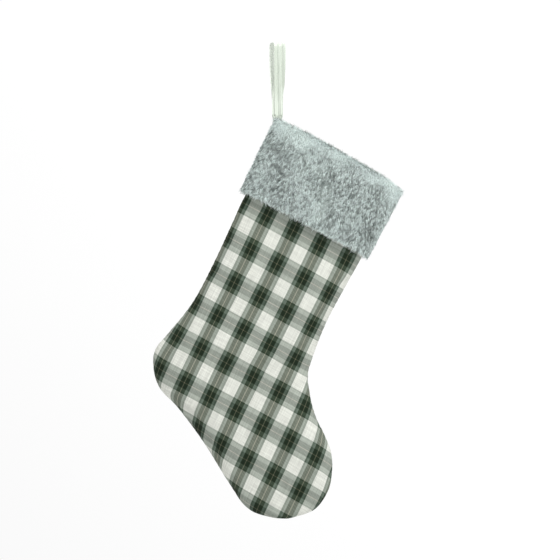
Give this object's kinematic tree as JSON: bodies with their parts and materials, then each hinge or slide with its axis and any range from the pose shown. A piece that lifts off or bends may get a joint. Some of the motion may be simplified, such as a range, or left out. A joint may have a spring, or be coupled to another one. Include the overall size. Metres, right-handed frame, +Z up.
{
  "type": "hanging stocking",
  "caption": "Padded and lined holiday stocking in woven plaid, with a faux-fur cuff folded over its mouth and a ribbon loop to hang it by.",
  "frame": {"origin": "underside of the ribbon loop's crown, where a hook or bar carries the stocking", "axes": "+Z up, +X towards the side that the toe points to, +Y towards the wall behind; the stocking is in the pose that it hangs in"},
  "size_m": [0.3298, 0.0636, 0.6273],
  "materials": {
    "plaid_cloth": "matt woven plaid in near-black, grey-green and off-white",
    "faux_fur": "long soft pile, grey with pale tips",
    "satin_ribbon": "soft satin, off-white",
    "lining_cloth": "thin plain weave, off-white",
    "wadding": "bonded fibre wadding",
    "thread": "sewing thread and turned-in seam cloth"
  },
  "bodies": {
    "hanger": {"hanging_loop": "satin_ribbon"},
    "neck_upper": {"loop_neck_upper": "satin_ribbon"},
    "neck_lower": {"loop_neck_lower": "satin_ribbon"},
    "stocking": {"loop_tail": "satin_ribbon", "loop_bartack": "thread", "shell_back": "plaid_cloth", "wadding_back": "wadding", "lining_back": "lining_cloth", "cuff_back": "faux_fur", "cuff_hem_back": "faux_fur", "cuff_seam_heel_side": "faux_fur", "cuff_seam_toe_side": "faux_fur", "mouth_stitch_back": "thread", "side_seam_heel_side": "thread", "side_seam_toe_side": "thread"},
    "front_half": {"shell_front": "plaid_cloth", "wadding_front": "wadding", "lining_front": "lining_cloth", "cuff_front": "faux_fur", "cuff_hem_front": "faux_fur", "mouth_stitch_front": "thread"}
  },
  "joints": [
    {"name": "loop_twist", "type": "hinge", "parent": "hanger", "child": "neck_upper", "pos_m": [0, 0, -0.08315], "axis": [0, 0, 1], "range_deg": [-90, 90]},
    {"name": "loop_fold", "type": "hinge", "parent": "neck_upper", "child": "neck_lower", "pos_m": [0, 0, -0.0898], "axis": [1, 0, 0], "range_deg": [-60, 60]},
    {"name": "side_swing", "type": "hinge", "parent": "neck_lower", "child": "stocking", "pos_m": [0, 0, -0.1], "axis": [0, 1, 0], "range_deg": [-60, 60]},
    {"name": "mouth_opening", "type": "hinge", "parent": "stocking", "child": "front_half", "pos_m": [-0.03736, 0, -0.62014], "axis": [0.8829, 0, -0.4695], "range_deg": [0, 5], "stiffness_Nm_per_rad": 0.5, "springref_deg": -17.19}
  ]
}
